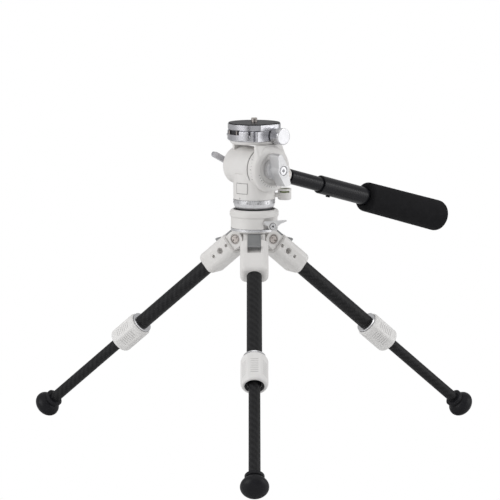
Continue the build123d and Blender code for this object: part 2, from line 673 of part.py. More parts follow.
def clamp_screws():
    low = CLAMP_Z[0]
    screws = []
    for y in CLAMP_SCREW_Y:
        screw = rod(2.0, low - 3.4, CLAMP_FLOOR_Z - 2.5, "z", (0, y))
        screw += rod(3.6, CLAMP_FLOOR_Z - 2.6, CLAMP_FLOOR_Z - 0.4, "z", (0, y))
        socket = Pos(0, y, CLAMP_FLOOR_Z - 1.8) * RegularPolygon(1.4, 6)
        screws += (screw - extrude(socket, 3)).solids()
    return Compound(screws)


def qr_plate():
    """Camera plate: a round top on a 38 mm dovetail."""
    top = rod(QR_R, DOVETAIL_Z[3], QR_TOP_Z)
    top = chamfer(top.faces().sort_by(Axis.Z)[0].edges(), 0.8)
    top &= block((-QR_R, QR_FLAT_X), (-QR_R, QR_R), (DOVETAIL_Z[3], QR_TOP_Z))
    body = top + dovetail(0, (-QR_HALF_Y, QR_HALF_Y))
    body -= block((-2.6, 2.6), (-14, 14), (0, 400)) & rod(40, 0, 334.0)
    body -= rod(CAMERA_SCREW_R + RUNNING, 300, 400)
    body -= rod(7.0 + RUNNING, 300, 336.6)
    return body


def plate_pad():
    """Rubber pad on the plate, a little smaller all round."""
    pad = rod(QR_R - 0.8, QR_TOP_Z, PAD_TOP_Z)
    pad &= block((-QR_R, QR_FLAT_X - 0.8), (-QR_R, QR_R), (QR_TOP_Z, PAD_TOP_Z))
    return pad - rod(CAMERA_SCREW_R + 0.4, 300, 400)


def camera_screw():
    """1/4"-20 screw with a coin slot in its head."""
    screw = chamfer(rod(CAMERA_SCREW_R, PAD_TOP_Z, CAMERA_SCREW_TOP).edges().sort_by(Axis.Z)[-1], 0.5)
    screw += rod(CAMERA_NECK_R, 336.0, PAD_TOP_Z) + rod(7.0, 333.4, 336.5)
    return screw - block((-8, 8), (-0.8, 0.8), (330, 334.6))


def lock_pins():
    pins = []
    for x in LOCK_PIN_X:
        pins += rod(LOCK_PIN_R, NOTCH_Z - 2, CLAMP_Z[1] - 0.4, "z", (x, LOCK_PIN_Y)).solids()
    return Compound(pins)


def build_clamp():
    keep("clamp_body", clamp_body())
    keep("clamp_jaw", clamp_jaw())
    keep("clamp_knob", clamp_knob())
    keep("clamp_screws", clamp_screws())
    keep("lock_pins", lock_pins())
    keep("qr_plate", qr_plate())
    keep("plate_pad", plate_pad())
    keep("camera_screw", camera_screw())


# ---------------------------------------------------------------- handle


def handle_mount():
    """Tongue on the hinge pin, and the plug that the inner tube is bonded to."""
    tongue = rod(HINGE_R - 0.2, -TONGUE_X, TONGUE_X, "y", (HINGE_T, 0))
    tongue += block((HINGE_T, TUBE_T[0]), (-TONGUE_X, TONGUE_X), (-5.4, 5.4))
    tongue += rod(TUBE_R - TUBE_WALL, TUBE_T[0] - 0.4, TUBE_T[0] + 18, "x")
    return tongue - rod(PIN_SHANK_R + RUNNING, -10, 10, "y", (HINGE_T, 0))


def handle_sleeve():
    start, end = SLEEVE_T
    sleeve = rod(SLEEVE_R, start, end, "x")
    sleeve = chamfer(sleeve.faces().sort_by(Axis.X)[0].edges(), 0.6)
    sleeve -= rod(TUBE_R + RUNNING, start - 1, end - 2, "x")
    return sleeve - rod(BUTTON_R + 0.1, -14, 0, "z", (BUTTON_T, 0))


def sleeve_button():
    button = rod(BUTTON_R, -SLEEVE_R - 1.4, -SLEEVE_R + 0.7, "z", (BUTTON_T, 0))
    return chamfer(button.faces().sort_by(Axis.Z)[0].edges(), 0.4)


def foam_grip():
    start, end = GRIP_T
    grip = turned(((0, start), (GRIP_R[0], start), (GRIP_R[1], end), (0, end)))
    grip = fillet(grip.faces().sort_by(Axis.X)[-1].edges(), GRIP_ROUND[1])
    grip = fillet(grip.faces().sort_by(Axis.X)[0].edges(), GRIP_ROUND[0])
    return grip - rod(SLEEVE_R, start - 1, SLEEVE_T[1], "x")


def build_handle():
    place = handle_frame()
    keep("handle_mount", place * handle_mount())
    keep("handle_tube", place * ring(TUBE_R, TUBE_R - TUBE_WALL, *TUBE_T, "x"))
    keep("handle_sleeve", place * handle_sleeve())
    keep("sleeve_button", place * sleeve_button())
    keep("foam_grip", place * foam_grip())


if __name__ == "__main__":
    os.makedirs("parts", exist_ok=True)
    build_legs()
    build_base()
    build_pan()
    build_tilt()
    build_clamp()
    build_handle()
    for node, shape in PARTS.items():
        export_step(shape, f"parts/{node}.step")
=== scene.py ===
import json
import math

import bmesh
import bpy
from mathutils import Matrix, Vector


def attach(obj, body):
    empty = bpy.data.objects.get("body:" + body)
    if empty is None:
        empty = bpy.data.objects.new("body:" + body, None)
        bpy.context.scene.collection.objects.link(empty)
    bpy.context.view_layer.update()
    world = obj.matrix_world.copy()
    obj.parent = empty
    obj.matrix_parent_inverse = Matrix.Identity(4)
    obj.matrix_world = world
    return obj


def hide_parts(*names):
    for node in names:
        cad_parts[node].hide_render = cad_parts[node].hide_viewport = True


# Looks of a table tripod with a fluid head. Metres, in the same frame as the CAD model:
# the lens points along -Y, the handle leaves towards +Y, the wing knob is on the +X side.

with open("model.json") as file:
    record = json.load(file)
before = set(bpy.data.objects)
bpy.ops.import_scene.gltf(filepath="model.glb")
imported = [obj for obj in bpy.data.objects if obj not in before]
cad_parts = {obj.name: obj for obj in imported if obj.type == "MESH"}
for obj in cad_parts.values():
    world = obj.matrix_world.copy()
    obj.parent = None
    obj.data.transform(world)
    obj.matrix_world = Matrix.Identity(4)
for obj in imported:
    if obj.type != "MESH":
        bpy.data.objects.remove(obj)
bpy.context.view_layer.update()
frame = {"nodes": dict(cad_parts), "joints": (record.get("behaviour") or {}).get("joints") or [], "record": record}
nodes = frame["nodes"]
joints = {joint["name"]: joint for joint in frame["joints"]}
LEGS = "abc"
MM = 0.001
TILT_Z = 298.0                  # height of the tilt axis, millimetres

# ------------------------------------------------------------------ camera

VIEW_AZIMUTH = math.radians(50.0)
VIEW_ELEVATION = math.radians(8.36)
VIEW_DISTANCE = 2.874
VIEW_HEIGHT = 0.2085
VIEW_SIDE = -0.0045             # the camera's axis passes just left of the tripod's
SENSOR = 36.0
LENS = 193.3
ROOM_SIDES = 0.46               # strength of the light from the room around and over the object
ROOM_TOP = 0.50


def view_axes():
    """Unit vectors to the right of the view, level ahead, and along the camera's line of sight."""
    right = Vector((math.cos(VIEW_AZIMUTH), math.sin(VIEW_AZIMUTH), 0))
    ahead = Vector((-math.sin(VIEW_AZIMUTH), math.cos(VIEW_AZIMUTH), 0))
    look = ahead * math.cos(VIEW_ELEVATION) - Vector((0, 0, math.sin(VIEW_ELEVATION)))
    return right, ahead, look


def add_camera():
    right, _, look = view_axes()
    target = right * VIEW_SIDE + Vector((0, 0, VIEW_HEIGHT))
    data = bpy.data.cameras.new("camera")
    data.sensor_width = SENSOR
    data.lens = LENS
    data.clip_end = 50
    camera = bpy.data.objects.new("camera", data)
    bpy.context.scene.collection.objects.link(camera)
    camera.location = target - look * VIEW_DISTANCE
    camera.rotation_euler = look.to_track_quat("-Z", "Y").to_euler()
    bpy.context.scene.camera = camera


# ------------------------------------------------------------------ studio


def add_area(name, place, aim, size, power):
    data = bpy.data.lights.new(name, "AREA")
    data.shape = "RECTANGLE"
    data.size, data.size_y = size
    data.energy = power
    light = bpy.data.objects.new(name, data)
    bpy.context.scene.collection.objects.link(light)
    light.location = place
    light.rotation_euler = (Vector(aim) - Vector(place)).to_track_quat("-Z", "Y").to_euler()


def add_card(name, place, aim, size, shade):
    """A card out of view whose reflection shapes the metal."""
    mesh = bpy.data.meshes.new(name)
    x, y = size[0] / 2, size[1] / 2
    mesh.from_pydata([(-x, -y, 0), (x, -y, 0), (x, y, 0), (-x, y, 0)], [], [(0, 1, 2, 3)])
    card = bpy.data.objects.new(name, mesh)
    bpy.context.scene.collection.objects.link(card)
    card.location = place
    card.rotation_euler = (Vector(aim) - Vector(place)).to_track_quat("-Z", "Y").to_euler()
    material = bpy.data.materials.new(name)
    material.use_nodes = True
    tree = material.node_tree
    tree.nodes.clear()
    glow = tree.nodes.new("ShaderNodeEmission")
    glow.inputs["Color"].default_value = (shade, shade, shade, 1)
    out = tree.nodes.new("ShaderNodeOutputMaterial")
    tree.links.new(glow.outputs[0], out.inputs[0])
    mesh.materials.append(material)
    card.visible_camera = False
    card.visible_shadow = False
    card.visible_diffuse = False


def add_world(look):
    """White behind the object; elsewhere a room that is darker towards the viewer than overhead."""
    world = bpy.data.worlds.new("world")
    bpy.context.scene.world = world
    world.use_nodes = True
    tree = world.node_tree
    direction = tree.nodes.new("ShaderNodeTexCoord").outputs["Generated"]

    def graded(vector, low, high, dim, bright):
        dot = tree.nodes.new("ShaderNodeVectorMath")
        dot.operation = "DOT_PRODUCT"
        tree.links.new(direction, dot.inputs[0])
        dot.inputs[1].default_value = vector
        made = tree.nodes.new("ShaderNodeMapRange")
        made.interpolation_type = "SMOOTHSTEP"
        tree.links.new(dot.outputs["Value"], made.inputs["Value"])
        for key, value in (("From Min", low), ("From Max", high), ("To Min", dim), ("To Max", bright)):
            made.inputs[key].default_value = value
        return made.outputs["Result"]

    room = graded((0, 0, 1), -0.2, 0.8, ROOM_SIDES, ROOM_TOP)
    backdrop = graded(look, 0.90, 0.975, 0.0, 1.0)
    strength = tree.nodes.new("ShaderNodeMath")
    strength.operation = "MAXIMUM"
    tree.links.new(room, strength.inputs[0])
    tree.links.new(backdrop, strength.inputs[1])
    sky = tree.nodes["Background"]
    sky.inputs["Color"].default_value = (1, 1, 1, 1)
    tree.links.new(strength.outputs[0], sky.inputs["Strength"])


def add_floor():
    """Seen only by the light that it throws back up, as the product stands on plain white."""
    mesh = bpy.data.meshes.new("floor")
    half = 3.0
    mesh.from_pydata([(-half, -half, 0), (half, -half, 0), (half, half, 0), (-half, half, 0)],
                     [], [(0, 1, 2, 3)])
    floor = bpy.data.objects.new("floor", mesh)
    floor.location.z = -0.0006
    bpy.context.scene.collection.objects.link(floor)
    material = bpy.data.materials.new("floor")
    material.use_nodes = True
    shader = material.node_tree.nodes["Principled BSDF"]
    shader.inputs["Base Color"].default_value = (0.85, 0.85, 0.85, 1)
    shader.inputs["Roughness"].default_value = 0.9
    mesh.materials.append(material)
    floor.visible_camera = False


def add_studio():
    right, ahead, look = view_axes()
    add_world(look)
    add_floor()
    centre = Vector((0, 0, 0.25))

    def at(across, towards, height):
        return right * across - ahead * towards + Vector((0, 0, height))

    add_area("key", at(-1.5, 0.9, 0.9), centre, (1.2, 1.2), 14)
    add_area("rim", at(1.7, 0.2, 0.8), centre, (0.7, 1.4), 10)
    add_area("top", at(0.0, 0.3, 2.0), centre, (1.4, 1.0), 3)
    add_card("dark_left", at(-0.75, 1.7, 0.35), centre, (0.35, 1.6), 0.02)
    add_card("dark_right", at(0.95, 1.5, 0.35), centre, (0.35, 1.6), 0.02)
    add_card("bright_right", at(1.6, 0.35, 0.15), centre, (0.7, 1.2), 1.3)
    settings = bpy.context.scene.view_settings
    settings.view_transform = "Standard"
    settings.exposure = 0.0


# ------------------------------------------------------------------ twist lock sizes

LOCK_START, LOCK_END = 163.4, 199.6      # stations along the leg from its hinge, millimetres
LOCK_R = 14.2
RIM_START, RIM_R = 0.3, 12.2             # the upper rim, after its chamfer
CAP_LENGTH, CAP_STEPS = 3.6, 8           # swell from the rim to the full radius
SKIRT_LENGTH, SKIRT_DROP = 4.4, 2.6      # rounding at the lower end
BORE_R = 8.05                            # clears the upper tube
LOCK_MOUTH, MOUTH_R = 196.5, 10.2        # floor and radius of the wide mouth at the lower end
FACETS = 6
FACET_FLAT = 12.7                        # from the leg's axis to the middle of a facet
RIB_PITCH = 2.8
RIB_DEPTH = 0.4
RIB_END = 7.6                            # the ribs stop this far from either end
RIB_SPAN = 18.0                          # degrees that they reach to either side of a facet's middle
RIB_ROW = 0.35                           # spacing of the mesh rows that carry them
SEAM_R = (11.5, 12.0)                    # dark ring that paints the shade in the gap against the silver ring

# ------------------------------------------------------------------ materials

EDGE = 0.0003                            # radius that softens the metal and plastic edges, metres
TOW = 0.0019                             # width of one tow of the carbon twill, metres
BOSS_R = 4.62                            # white boss round the cup lever's screw


class Shader:
    """A few short calls for building one material's nodes."""

    def __init__(self, name):
        self.material = bpy.data.materials.new(name)
        self.material.use_nodes = True
        self.tree = self.material.node_tree
        self.surface = self.tree.nodes["Principled BSDF"]

    def node(self, kind, **values):
        made = self.tree.nodes.new("ShaderNode" + kind)
        for key, value in values.items():
            setattr(made, key, value)
        return made

    def link(self, source, target):
        self.tree.links.new(source, target)

    def set(self, **values):
        for key, value in values.items():
            self.surface.inputs[key.replace("_", " ")].default_value = value

    def place(self):
        return self.node("TexCoord").outputs["Object"]

    def math(self, operation, first, second=None):
        made = self.node("Math", operation=operation)
        for socket, value in zip(made.inputs, (first, second)):
            if value is None:
                continue
            if isinstance(value, (int, float)):
                socket.default_value = value
            else:
                self.link(value, socket)
        return made.outputs[0]

    def along(self, vector, origin=(0, 0, 0)):
        """How far a surface point lies from an origin along a vector."""
        offset = self.node("VectorMath", operation="SUBTRACT")
        self.link(self.place(), offset.inputs[0])
        offset.inputs[1].default_value = origin
        dot = self.node("VectorMath", operation="DOT_PRODUCT")
        self.link(offset.outputs[0], dot.inputs[0])
        dot.inputs[1].default_value = vector
        return dot.outputs["Value"]

    def noise(self, scale, detail=3.0, roughness=0.5, vector=None):
        made = self.node("TexNoise")
        made.inputs["Scale"].default_value = scale
        made.inputs["Detail"].default_value = detail
        made.inputs["Roughness"].default_value = roughness
        self.link(vector or self.place(), made.inputs["Vector"])
        return made.outputs["Fac"]

    def ramp(self, value, *stops):
        made = self.node("ValToRGB")
        elements = made.color_ramp.elements
        while len(elements) < len(stops):
            elements.new(0.5)
        for element, (position, colour) in zip(elements, stops):
            element.position = position
            element.color = (*colour, 1) if len(colour) == 3 else colour
        self.link(value, made.inputs["Fac"])
        return made.outputs["Color"]

    def spread(self, value, low, high):
        made = self.node("MapRange")
        self.link(value, made.inputs["Value"])
        made.inputs["To Min"].default_value = low
        made.inputs["To Max"].default_value = high
        return made.outputs["Result"]

    def bump(self, height, distance, strength=1.0, normal=None):
        made = self.node("Bump")
        made.inputs["Distance"].default_value = distance
        made.inputs["Strength"].default_value = strength
        self.link(height, made.inputs["Height"])
        if normal is not None:
            self.link(normal, made.inputs["Normal"])
        return made.outputs["Normal"]

    def soft_edges(self, radius):
        made = self.node("Bevel", samples=4)
        made.inputs["Radius"].default_value = radius
        return made.outputs["Normal"]

    def finish(self, colour=None, roughness=None, normal=None):
        if colour is not None:
            self.link(colour, self.surface.inputs["Base Color"])
        if roughness is not None:
            self.link(roughness, self.surface.inputs["Roughness"])
        if normal is not None:
            self.link(normal, self.surface.inputs["Normal"])
        return self.material


def lock_coat():
    """Powder coat of the twist locks, with painted shade that darkens the grooves between their ribs."""
    s = Shader("lock_coat")
    station = s.along((1, 0, 0), (LOCK_START * MM, 0, 0))
    wave = s.math("COSINE", s.math("MULTIPLY", station, 2 * math.pi / (RIB_PITCH * MM)))
    groove = s.math("LESS_THAN", wave, -0.75)
    after_start = s.math("GREATER_THAN", station, RIB_END * MM)
    before_end = s.math("LESS_THAN", station, (LOCK_END - LOCK_START - RIB_END) * MM)
    sector = 2 * math.pi / FACETS
    full_turns = 4 * math.pi                # keeps the angle positive for the modulo
    turn = s.math("ARCTAN2", s.along((0, 0, 1)), s.along((0, 1, 0)))
    shifted = s.math("ADD", turn, sector / 2 - math.pi / 2 + full_turns)
    within = s.math("MODULO", shifted, sector)
    off = s.math("ABSOLUTE", s.math("SUBTRACT", within, sector / 2))
    near = s.math("LESS_THAN", off, math.radians(RIB_SPAN))
    banded = s.math("MULTIPLY", after_start, before_end)
    shaded_grooves = s.math("MULTIPLY", s.math("MULTIPLY", groove, near), banded)
    # painted shade: the grooves between the ribs take the darker tone
    tone = s.ramp(shaded_grooves, (0.0, (0.80, 0.79, 0.78)), (1.0, (0.50, 0.49, 0.485)))
    s.set(Specular_IOR_Level=0.4)
    return s.finish(tone, s.spread(s.noise(240, 3), 0.42, 0.52))


def white_coat():
    """Satin powder coat: faint orange peel, slightly uneven tone and gloss."""
    s = Shader("white_coat")
    tone = s.ramp(s.noise(60, 4), (0.3, (0.735, 0.72, 0.705)), (0.7, (0.775, 0.762, 0.748)))
    gloss = s.spread(s.noise(240, 3), 0.38, 0.52)
    s.set(Specular_IOR_Level=0.45)
    return s.finish(tone, gloss, s.bump(s.noise(2600, 2), 0.00004, 0.35, s.soft_edges(0.0005)))


def metal(name, low, high, rough, grain=(1, 1, 1), share=1.0):
    """Metal between two tones, its fine grain stretched along chosen axes; share is how metallic."""
    s = Shader(name)
    stretch = s.node("VectorMath", operation="MULTIPLY")
    s.link(s.place(), stretch.inputs[0])
    stretch.inputs[1].default_value = grain
    fine = s.noise(3000, 2, vector=stretch.outputs[0])
    tone = s.ramp(s.noise(90, 3), (0.3, low), (0.75, high))
    s.set(Metallic=share)
    return s.finish(tone, s.spread(fine, *rough), s.bump(fine, 0.00001, 0.5, s.soft_edges(EDGE)))


def plain_black(name, tone, rough, scale=2200, depth=0.00003, level=0.4):
    """Black plastic, rubber, foam or anodising; level is the strength of its sheen."""
    s = Shader(name)
    colour = s.ramp(s.noise(120, 3), (0.3, tone), (0.7, tuple(c * 1.35 for c in tone)))
    s.set(Specular_IOR_Level=level)
    fine = s.noise(scale, 3)
    return s.finish(colour, s.spread(fine, *rough), s.bump(fine, depth, 0.5, s.soft_edges(EDGE)))


def leg_axes(letter):
    """Hinge point, direction down the leg, along its pin, and out of its upper side."""
    fold = joints["leg_fold_" + letter]
    origin = Vector(fold["pos_m"])
    down = -Vector(joints["leg_retract_" + letter]["axis"])
    pin = Vector(fold["axis"])
    return origin, down, pin, down.cross(pin)


def carbon(name, origin, down, side, up, radius):
    """Twill weave laid round a tube: two sets of tows that catch the light in turn."""
    s = Shader(name)
    station = s.along(down, origin)
    turn = s.math("ARCTAN2", s.along(up, origin), s.along(side, origin))
    tows_round = round(2 * math.pi * radius / TOW)
    u = s.math("DIVIDE", station, TOW)
    v = s.math("MULTIPLY", turn, tows_round / (2 * math.pi))
    cell = s.math("ADD", s.math("FLOOR", u), s.math("FLOOR", v))
    positive = s.math("ADD", cell, 4000.0)
    over = s.math("LESS_THAN", s.math("MODULO", positive, 4.0), 2.0)
    warp = s.math("ABSOLUTE", s.math("SUBTRACT", s.math("FRACT", u), 0.5))
    weft = s.math("ABSOLUTE", s.math("SUBTRACT", s.math("FRACT", v), 0.5))
    pick = s.node("Mix", data_type="FLOAT")
    s.link(over, pick.inputs["Factor"])
    s.link(warp, pick.inputs["A"])
    s.link(weft, pick.inputs["B"])
    tone = s.node("Mix", data_type="RGBA")
    s.link(over, tone.inputs[0])
    tone.inputs[6].default_value = (0.010, 0.010, 0.011, 1)
    tone.inputs[7].default_value = (0.019, 0.019, 0.020, 1)
    cloud = s.ramp(s.noise(160, 4), (0.3, (0.55, 0.55, 0.55)), (0.7, (1.3, 1.3, 1.3)))
    mottled = s.node("Mix", data_type="RGBA", blend_type="MULTIPLY")
    mottled.inputs[0].default_value = 0.55
    s.link(tone.outputs[2], mottled.inputs[6])
    s.link(cloud, mottled.inputs[7])
    s.set(Specular_IOR_Level=0.2)
    height = s.math("SUBTRACT", 0.5, pick.outputs[0])
    return s.finish(mottled.outputs[2], s.spread(over, 0.42, 0.56),
                    s.bump(height, 0.00005, 0.5))


def paint_node(name, material):
    node = nodes[name]
    node.data.materials.clear()
    node.data.materials.append(material)


def lever_paint():
    """Bare metal blade; its round boss, near the screw's axis, is coated white."""
    s = Shader("lever")
    swing = joints["level_lever_swing"]
    axis = Vector(swing["axis"])
    side = Vector((0, 0, 1)).cross(axis)
    across = s.along(side, swing["pos_m"])
    above = s.along((0, 0, 1), swing["pos_m"])
    reach = s.math("SQRT", s.math("ADD", s.math("MULTIPLY", across, across),
                                  s.math("MULTIPLY", above, above)))
    blade = s.math("GREATER_THAN", reach, BOSS_R * MM)
    tone = s.ramp(blade, (0.0, (0.76, 0.75, 0.74)), (1.0, (0.86, 0.86, 0.87)))
    s.link(blade, s.surface.inputs["Metallic"])
    fine = s.noise(1500, 2)
    return s.finish(tone, s.spread(fine, 0.28, 0.42), s.bump(fine, 0.00002, 0.4, s.soft_edges(EDGE)))


def coat_slots():
    """One finish for each material slot, and the twist locks' own coat with painted shade in its rib grooves."""
    vial = Shader("vial_green")
    vial.set(Transmission_Weight=0.2, IOR=1.45)
    glow = vial.ramp(vial.noise(300, 2), (0.3, (0.15, 0.21, 0.03)), (0.7, (0.21, 0.28, 0.045)))
    return {
        "white_coat": white_coat(),
        "lock_coat": lock_coat(),
        "silver_trim": metal("silver_trim", (0.72, 0.72, 0.74), (0.84, 0.84, 0.86), (0.20, 0.32),
                             (1, 1, 12)),
        "clamp_aluminium": metal("clamp_aluminium", (0.60, 0.60, 0.63), (0.70, 0.70, 0.73),
                                 (0.20, 0.30), (1, 1, 10)),
        "polished_knob": metal("polished_knob", (0.66, 0.66, 0.68), (0.74, 0.74, 0.76), (0.14, 0.22),
                               (8, 1, 1)),
        "grey_metal": metal("grey_metal", (0.26, 0.265, 0.27), (0.31, 0.315, 0.32), (0.42, 0.55)),
        "steel": metal("steel", (0.46, 0.42, 0.40), (0.60, 0.56, 0.53), (0.22, 0.34)),
        "dark_steel": metal("dark_steel", (0.06, 0.06, 0.065), (0.09, 0.09, 0.095), (0.4, 0.5)),
        "black_anodised": plain_black("black_anodised", (0.007, 0.007, 0.009), (0.2, 0.28), 2200,
                                      0.00001, 0.25),
        "black_rubber": plain_black("black_rubber", (0.008, 0.008, 0.010), (0.38, 0.5), 900, 0.00003,
                                    0.2),
        "foam": plain_black("foam", (0.009, 0.009, 0.010), (0.85, 0.98), 2500, 0.0002, 0.15),
        "nylon": plain_black("nylon", (0.03, 0.03, 0.032), (0.4, 0.55)),
        "vial_green": vial.finish(glow, vial.spread(vial.noise(500, 2), 0.12, 0.2)),
    }


def paint_all():
    """Every CAD node gets its slot's finish; tubes, wing knob and the cup's lever get their own."""
    finish = coat_slots()
    for part in frame["record"]["subparts"]:
        if part["material_slot"] in finish:
            paint_node(part["node"], finish[part["material_slot"]])
    paint_node("level_lever", lever_paint())
    paint_node("wing_knob", metal("wing_knob", (0.66, 0.66, 0.67), (0.74, 0.74, 0.75), (0.36, 0.46),
                                  share=0.75))
    for letter in LEGS:
        origin, down, pin, up = leg_axes(letter)
        for part, radius in (("upper_tube_", 0.008), ("lower_tube_", 0.006)):
            paint_node(part + letter, carbon(part + letter, origin, down, pin, up, radius))
    return finish


# ------------------------------------------------------------------ pieces


def place_mesh(name, mesh, body, place=None, smooth=True):
    """An object for a mesh, moving with a body; the same mesh can be placed several times."""
    if smooth:
        for face in mesh.polygons:
            face.use_smooth = True
    piece = bpy.data.objects.new(name, mesh)
    bpy.context.scene.collection.objects.link(piece)
    if place is not None:
        piece.matrix_world = place
    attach(piece, body)
    return piece


def lathe(name, profile, segments, shape=None):
    """Closed mesh turned about local X from a loop of (station, radius) points, in millimetres."""
    points, faces = [], []
    for station, radius in profile:
        for step in range(segments):
            turn = 2 * math.pi * step / segments
            r = shape(station, turn, radius) if shape else radius
            points.append((station * MM, r * MM * math.cos(turn), r * MM * math.sin(turn)))
    for row in range(len(profile)):
        here, ahead = row * segments, (row + 1) % len(profile) * segments
        for step in range(segments):
            after = (step + 1) % segments
            faces.append((here + step, here + after, ahead + after, ahead + step))
    mesh = bpy.data.meshes.new(name)
    mesh.from_pydata(points, [], faces)
    face_outwards(mesh)
    return mesh


def face_outwards(mesh):
    work = bmesh.new()
    work.from_mesh(mesh)
    bmesh.ops.recalc_face_normals(work, faces=work.faces)
    work.to_mesh(mesh)
    work.free()


def ring_profile(back, front, inner, outer):
    """Outline of a plain ring between two stations and two radii."""
    return [(back, inner), (front, inner), (front, outer), (back, outer)]


def facing(axis, point):
    """Matrix that lays local X along an axis from a point."""
    return Matrix.Translation(point) @ axis.to_track_quat("X", "Z").to_matrix().to_4x4()


# ------------------------------------------------------------------ twist locks


def eased(value, low, high):
    """A smooth step from 0 at low to 1 at high."""
    t = min(max((value - low) / (high - low), 0.0), 1.0)
    return t * t * (3 - 2 * t)


def lock_surface(station, turn, radius):
    """Six soft facets with fine ribs across the middle of each."""
    if radius <= MOUTH_R + RIM_START:
        return radius
    sector = 2 * math.pi / FACETS
    off = abs((turn - math.pi / 2 + sector / 2) % sector - sector / 2)
    ends = eased(station, LOCK_START + 1, LOCK_START + 7)
    ends *= 1 - eased(station, LOCK_END - 6, LOCK_END - 1.5)
    radius -= max(0.0, radius - FACET_FLAT / math.cos(off)) * ends
    band = eased(station, LOCK_START + RIB_END - 0.2, LOCK_START + RIB_END + 0.6)
    band *= 1 - eased(station, LOCK_END - RIB_END - 0.8, LOCK_END - RIB_END)
    band *= 1 - eased(math.degrees(off), RIB_SPAN, RIB_SPAN + 3.0)
    groove = (0.5 - 0.5 * math.cos(2 * math.pi * (station - LOCK_START) / RIB_PITCH)) ** 3
    return radius - RIB_DEPTH * groove * band


def leg_place(letter):
    """Matrix from leg coordinates, X down the leg and Z out of its upper side."""
    origin, down, pin, up = leg_axes(letter)
    place = Matrix.Identity(4)
    for column, vector in enumerate((down, pin, up, origin)):
        for row in range(3):
            place[row][column] = vector[row]
    return place


def lock_profile():
    """A lock's wall in section, as (station, radius): down the outside and back up the bore."""
    low, high = LOCK_START, LOCK_END
    wall = [(low, 11.0), (low + RIM_START, RIM_R)]
    for step in range(1, CAP_STEPS + 1):
        part = step / CAP_STEPS
        swell = (LOCK_R - RIM_R) * math.sin(part * math.pi / 2)
        wall.append((low + RIM_START + CAP_LENGTH * part, RIM_R + swell))
    ribs_start, ribs_end = low + 7.0, high - 8.0
    rows = int((ribs_end - ribs_start) / RIB_ROW)
    wall += [(ribs_start + RIB_ROW * row, LOCK_R) for row in range(rows + 1)]
    wall += [(high - RIB_END + row, LOCK_R) for row in range(3)]
    for step in range(11):
        a = math.radians(step * 9)
        wall.append((high - SKIRT_LENGTH * (1 - math.sin(a)), LOCK_R - SKIRT_DROP * (1 - math.cos(a))))
    mouth = [(high, MOUTH_R + 0.3), (high - 0.3, MOUTH_R), (LOCK_MOUTH, MOUTH_R)]
    return wall + mouth + [(LOCK_MOUTH, BORE_R), (low, BORE_R)]


def mouth_profile():
    """A thin black sheet on the floor and the wall of the mouth, painting the shade inside it."""
    floor, rim = LOCK_MOUTH, LOCK_END - 0.5
    inner, face, wall = BORE_R + 0.05, MOUTH_R - 0.25, MOUTH_R + 0.05
    return [(floor - 0.05, inner), (floor + 0.3, inner), (floor + 0.3, face), (rim, face), (rim, wall),
            (floor - 0.05, wall)]


def add_twist_locks(finish):
    mesh = lathe("twist_lock", lock_profile(), 120, lock_surface)
    mesh.materials.append(finish["lock_coat"])
    # painted shade: a black sheet inside the lock's mouth
    shade_sheet = lathe("mouth_lining", mouth_profile(), 96)
    shade_sheet.materials.append(finish["nylon"])
    # painted shade: a dark ring in the gap between the lock and the silver ring
    seam = lathe("lock_seam", ring_profile(LOCK_START - 0.22, LOCK_START + 0.05, *SEAM_R), 96)
    seam.materials.append(finish["nylon"])
    for letter in LEGS:
        body = "twist_lock_" + letter
        lock = place_mesh("ribbed_lock_" + letter, mesh, body, leg_place(letter))
        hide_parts(body)
        place_mesh("mouth_lining_" + letter, shade_sheet, body, leg_place(letter))
        place_mesh("lock_seam_" + letter, seam, body, leg_place(letter))


# ------------------------------------------------------------------ foam grip

GRIP_START, GRIP_END = 165.0, 286.0      # stations along the handle from the tilt axis, millimetres
GRIP_R = (16.4, 17.5)                    # the grip swells towards its end
GRIP_ROUND = (4.5, 8.0)                  # rounding of its two ends
SLEEVE_R, SLEEVE_END = 10.0, 281.0
GAP = 0.05                               # between the foam and the sleeve that it covers


def foam_skin(station, turn, radius):
    """The moulded skin's faint unevenness, at most a tenth of a millimetre."""
    if radius < SLEEVE_R + 1.0:
        return radius
    wave = math.sin(station * 0.9 + 2 * math.sin(3 * turn)) * math.sin(5 * turn)
    return radius - 0.05 + 0.05 * wave


def foam_profile():
    """The grip in section, as (station, radius): over its skin, then back up its bore."""
    (r0, r1), (e0, e1) = GRIP_R, GRIP_ROUND
    profile = [(GRIP_START, SLEEVE_R + GAP)]
    for step in range(13):
        a = math.radians(step * 7.5)
        profile.append((GRIP_START + e0 * (1 - math.cos(a)), r0 - e0 * (1 - math.sin(a))))
    rows = 60
    length = GRIP_END - e1 - GRIP_START - e0
    for row in range(1, rows):
        part = row / rows
        profile.append((GRIP_START + e0 + length * part, r0 + (r1 - r0) * part))
    for step in range(19):
        a = math.radians(step * 5)
        profile.append((GRIP_END - e1 * (1 - math.sin(a)), r1 - e1 * (1 - math.cos(a))))
    centre = 0.02
    bore_end = SLEEVE_END + GAP
    return profile + [(GRIP_END, centre), (bore_end, centre), (bore_end, SLEEVE_R + GAP)]


def add_foam_grip(finish):
    """One moulded sleeve of closed-cell foam over the end of the handle."""
    mesh = lathe("foam_sleeve", foam_profile(), 96, foam_skin)
    mesh.materials.append(finish["foam"])
    along = Vector(joints["handle_extend"]["axis"])
    mesh.transform(facing(along, (0, 0, TILT_Z * MM)))
    grip = place_mesh("foam_sleeve", mesh, "handle_slide")
    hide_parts("foam_grip")
